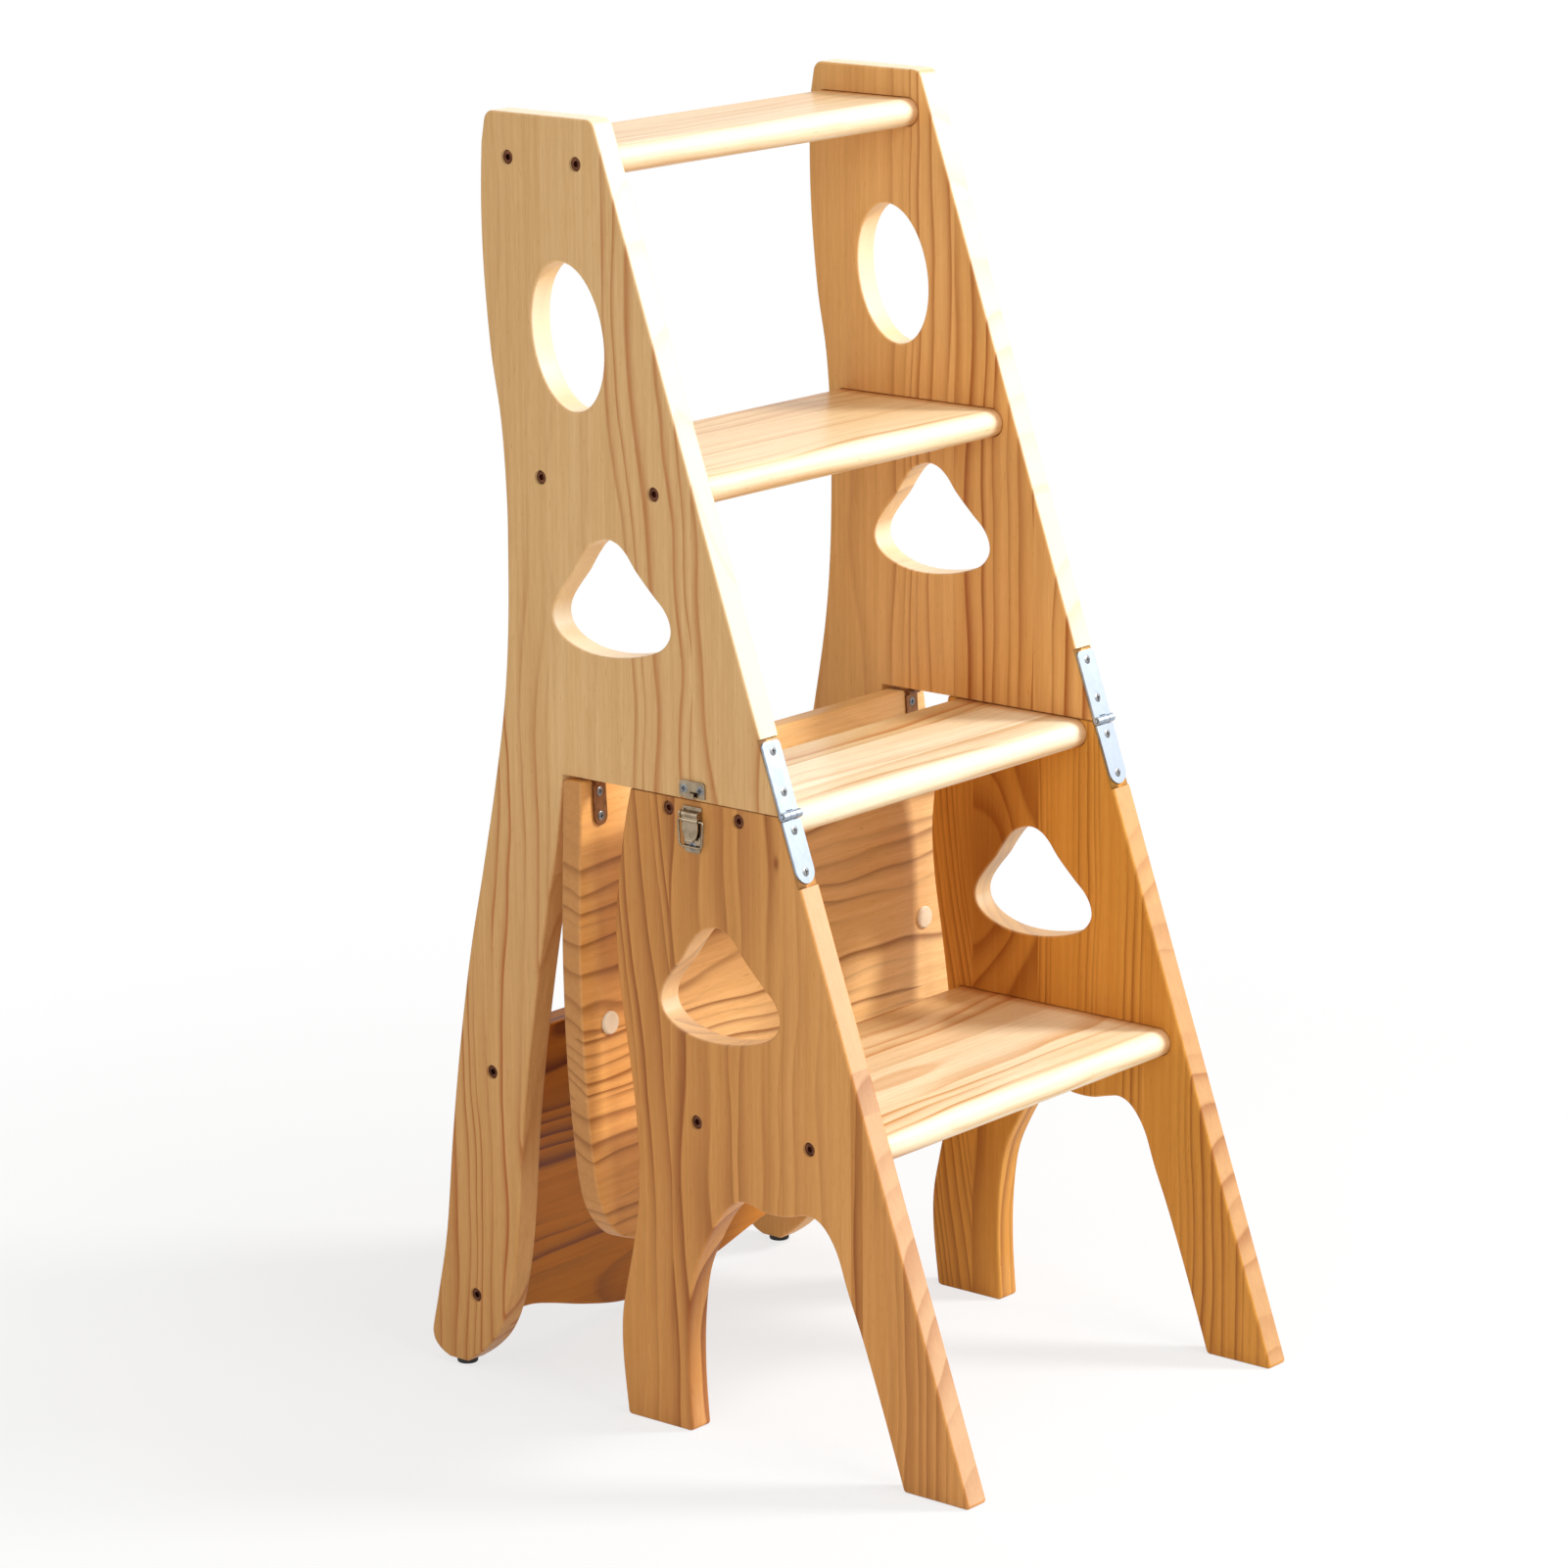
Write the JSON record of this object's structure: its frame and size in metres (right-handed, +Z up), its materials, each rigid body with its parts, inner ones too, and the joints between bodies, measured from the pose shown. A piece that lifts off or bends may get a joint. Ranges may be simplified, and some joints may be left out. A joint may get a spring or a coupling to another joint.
{
  "type": "folding step stool chair",
  "caption": "Pine step ladder whose hinged upper frame folds over the lower one to make a chair, with a hanging flap that becomes the seat.",
  "frame": {"origin": "on the floor, in the middle of the width and of the depth, with the ladder upright", "axes": "+Z up, the treads are climbed from -Y, +X to the right of a person who faces the treads"},
  "size_m": [0.406, 0.4846, 0.9],
  "materials": {
    "pine_side": "satin clear varnish",
    "pine_tread": "satin clear varnish",
    "pine_flap": "satin clear varnish",
    "bronze_screw": "dark bronzed",
    "zinc_strap": "bright zinc plate",
    "bronze_leaf": "dark bronzed",
    "nickel": "nickel plate",
    "rubber": "matt",
    "pale_rubber": "matt"
  },
  "bodies": {
    "lower_frame": {"lower_side_left": "pine_side", "lower_side_right": "pine_side", "step_1": "pine_tread", "step_2": "pine_tread", "step_1_screw_left_1": "bronze_screw", "step_1_screw_left_2": "bronze_screw", "step_1_screw_right_1": "bronze_screw", "step_1_screw_right_2": "bronze_screw", "step_2_screw_left_1": "bronze_screw", "step_2_screw_left_2": "bronze_screw", "step_2_screw_right_1": "bronze_screw", "step_2_screw_right_2": "bronze_screw", "strap_leaf_lower_left": "zinc_strap", "strap_pin_left": "zinc_strap", "strap_leaf_lower_right": "zinc_strap", "strap_pin_right": "zinc_strap", "latch_base_left": "nickel", "latch_pin_left": "nickel", "latch_base_right": "nickel", "latch_pin_right": "nickel"},
    "upper_frame": {"upper_side_left": "pine_side", "upper_side_right": "pine_side", "step_3": "pine_tread", "step_4": "pine_tread", "back_panel": "pine_flap", "step_3_screw_left_1": "bronze_screw", "step_3_screw_left_2": "bronze_screw", "step_3_screw_right_1": "bronze_screw", "step_3_screw_right_2": "bronze_screw", "step_4_screw_left_1": "bronze_screw", "step_4_screw_left_2": "bronze_screw", "step_4_screw_right_1": "bronze_screw", "step_4_screw_right_2": "bronze_screw", "back_panel_screw_left_1": "bronze_screw", "back_panel_screw_left_2": "bronze_screw", "back_panel_screw_right_1": "bronze_screw", "back_panel_screw_right_2": "bronze_screw", "rear_glide_left": "rubber", "rear_glide_right": "rubber", "strap_leaf_upper_left": "zinc_strap", "strap_leaf_upper_right": "zinc_strap", "seat_frame_leaf_left": "bronze_leaf", "seat_pin_left": "bronze_leaf", "seat_frame_leaf_right": "bronze_leaf", "seat_pin_right": "bronze_leaf", "latch_keeper_left": "nickel", "latch_keeper_right": "nickel"},
    "seat": {"seat_flap": "pine_flap", "seat_pad_left": "pale_rubber", "seat_leaf_left": "bronze_leaf", "seat_pad_right": "pale_rubber", "seat_leaf_right": "bronze_leaf"},
    "latch_lever_left": {"latch_lever_left": "nickel"},
    "latch_bail_left": {"latch_bail_left": "nickel"},
    "latch_lever_right": {"latch_lever_right": "nickel"},
    "latch_bail_right": {"latch_bail_right": "nickel"}
  },
  "joints": [
    {"name": "main_fold", "type": "hinge", "parent": "lower_frame", "child": "upper_frame", "pos_m": [0, -0.08472, 0.45017], "axis": [1, 0, 0], "range_deg": [0, 180]},
    {"name": "seat_swing", "type": "hinge", "parent": "upper_frame", "child": "seat", "pos_m": [0, 0.08555, 0.4475], "axis": [-1, 0, 0], "range_deg": [0, 86.5]},
    {"name": "latch_lever_left", "type": "hinge", "parent": "lower_frame", "child": "latch_lever_left", "pos_m": [-0.1884, -0.00817, 0.441], "axis": [0, 1, 0], "range_deg": [0, 90]},
    {"name": "latch_bail_left", "type": "hinge", "parent": "latch_lever_left", "child": "latch_bail_left", "pos_m": [-0.1881, -0.00817, 0.4368], "axis": [0, 1, 0], "range_deg": [0, 45]},
    {"name": "latch_lever_right", "type": "hinge", "parent": "lower_frame", "child": "latch_lever_right", "pos_m": [0.1884, -0.00817, 0.441], "axis": [0, -1, 0], "range_deg": [0, 90]},
    {"name": "latch_bail_right", "type": "hinge", "parent": "latch_lever_right", "child": "latch_bail_right", "pos_m": [0.1881, -0.00817, 0.4368], "axis": [0, -1, 0], "range_deg": [0, 45]}
  ],
  "couplings": [
    {"joint": "seat_swing", "follows": "main_fold", "ratio": 0.4805}
  ]
}
